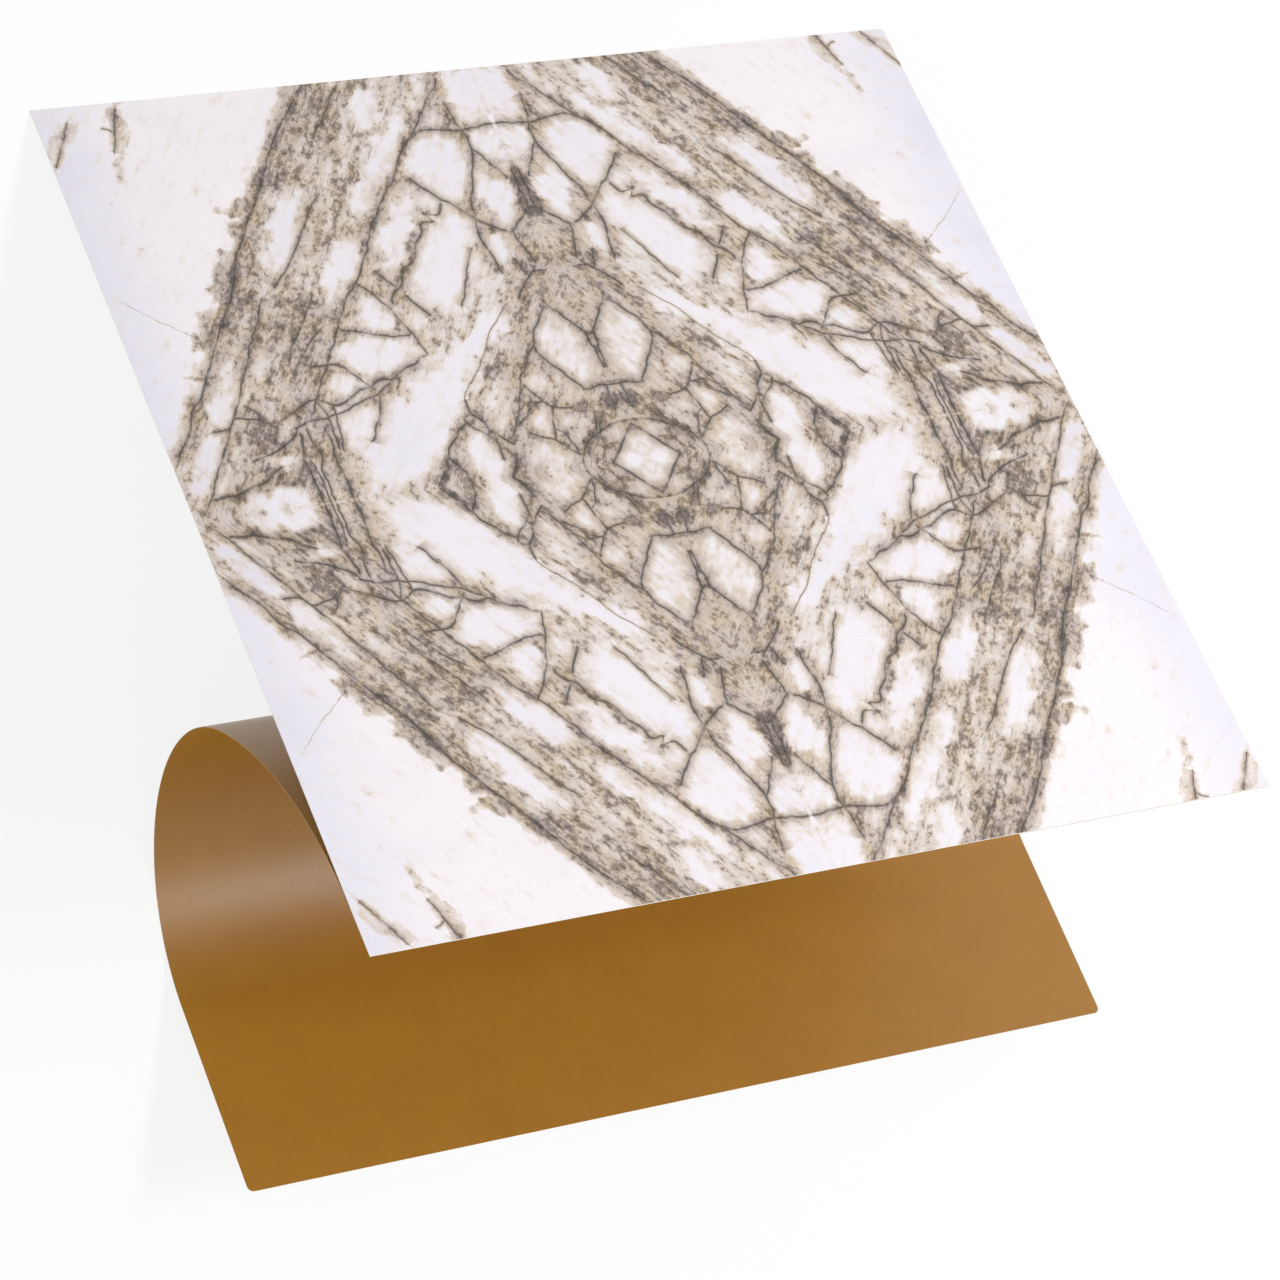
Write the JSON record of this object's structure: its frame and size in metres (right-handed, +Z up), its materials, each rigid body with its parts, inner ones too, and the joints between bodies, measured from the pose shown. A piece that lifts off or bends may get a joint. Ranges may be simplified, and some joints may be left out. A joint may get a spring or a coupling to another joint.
{
  "type": "self-adhesive vinyl tile",
  "caption": "Thin square vinyl film with a marble print and an adhesive back, its paper release liner peeled back and curled under one edge.",
  "frame": {"origin": "on the floor at the middle of the footprint, at rest on the curled paper and the film's back edge", "axes": "+X along the film's front edge, +Y to the edge that rests on the floor, +Z up"},
  "size_m": [0.3, 0.328, 0.1509],
  "materials": {
    "printed_vinyl": "satin",
    "kraft_paper": "satin"
  },
  "bodies": {
    "root": {"vinyl_tile": "printed_vinyl", "release_liner": "kraft_paper"}
  },
  "joints": []
}
